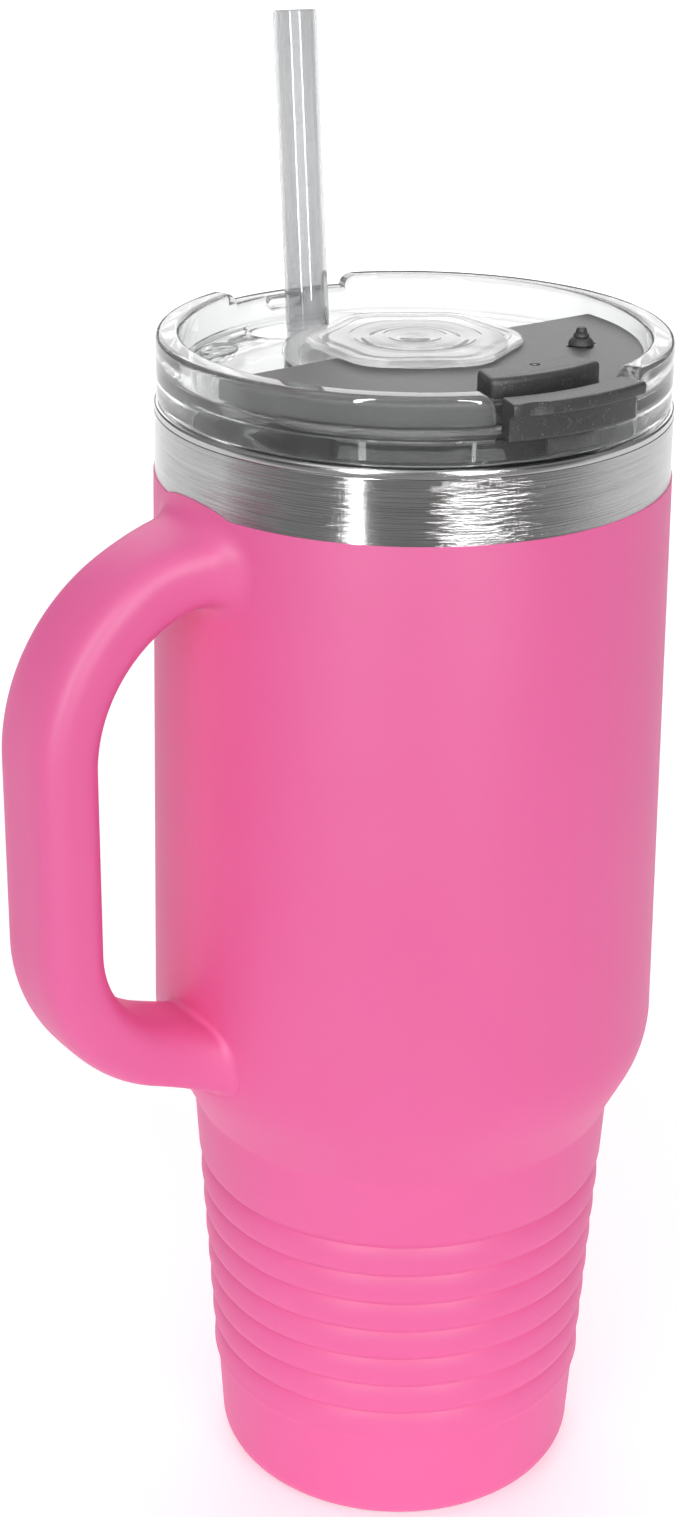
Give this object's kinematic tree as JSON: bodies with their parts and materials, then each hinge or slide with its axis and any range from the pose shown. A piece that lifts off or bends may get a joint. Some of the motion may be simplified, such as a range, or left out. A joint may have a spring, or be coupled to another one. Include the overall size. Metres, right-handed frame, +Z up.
{
  "type": "insulated tumbler with lid",
  "caption": "Tall vacuum-insulated steel tumbler with a side handle, ribbed lower cup, clear press-in lid with a turning half-ring cover, and a clear straw.",
  "frame": {"origin": "middle of the rest face under the foot", "axes": "+Z up along the cup's axis; the handle points along -X, the thumb tab along -Y, the sip slot and the straw along +Y"},
  "size_m": [0.1394, 0.104, 0.3033],
  "materials": {
    "pink_coat": "matte powder coat",
    "pink_powder": "matte powder coat, the skin alone",
    "brushed_steel": "brushed round the axis",
    "plain_steel": "satin",
    "solder_glass": "glossy",
    "getter_metal": "sintered, matte",
    "clear_lid": "clear moulded plastic, glossy",
    "clear_straw": "clear plastic tube",
    "silicone": "translucent silicone",
    "dark_plastic": "fine spark texture",
    "dark_silicone": "matte"
  },
  "bodies": {
    "cup": {"outer_shell": "brushed_steel", "powder_coat": "pink_powder", "inner_liner": "brushed_steel", "vacuum_base": "plain_steel", "vacuum_seal": "solder_glass", "getter": "getter_metal", "getter_clip": "plain_steel", "base_cover": "plain_steel", "handle_outer_half": "pink_coat", "handle_inner_half": "pink_coat", "handle_upper_weld": "pink_coat", "handle_lower_weld": "pink_coat"},
    "lid": {"lid_body": "clear_lid", "lid_gasket": "silicone", "hub_cap": "clear_lid", "thumb_tab": "dark_plastic"},
    "cover": {"slider": "dark_plastic", "slot_seal": "dark_silicone"},
    "straw": {"straw": "clear_straw"}
  },
  "joints": [
    {"name": "lid_lift", "type": "slide", "parent": "cup", "child": "lid", "axis": [0, 0, 1], "range_m": [0, 0.26]},
    {"name": "slider_turn", "type": "hinge", "parent": "lid", "child": "cover", "pos_m": [0, 0, 0.2444], "axis": [0, 0, 1], "range_deg": [-80, 75]},
    {"name": "straw_slide", "type": "slide", "parent": "lid", "child": "straw", "axis": [0.0337, 0.1337, 0.9904], "range_m": [0, 0.3]}
  ]
}
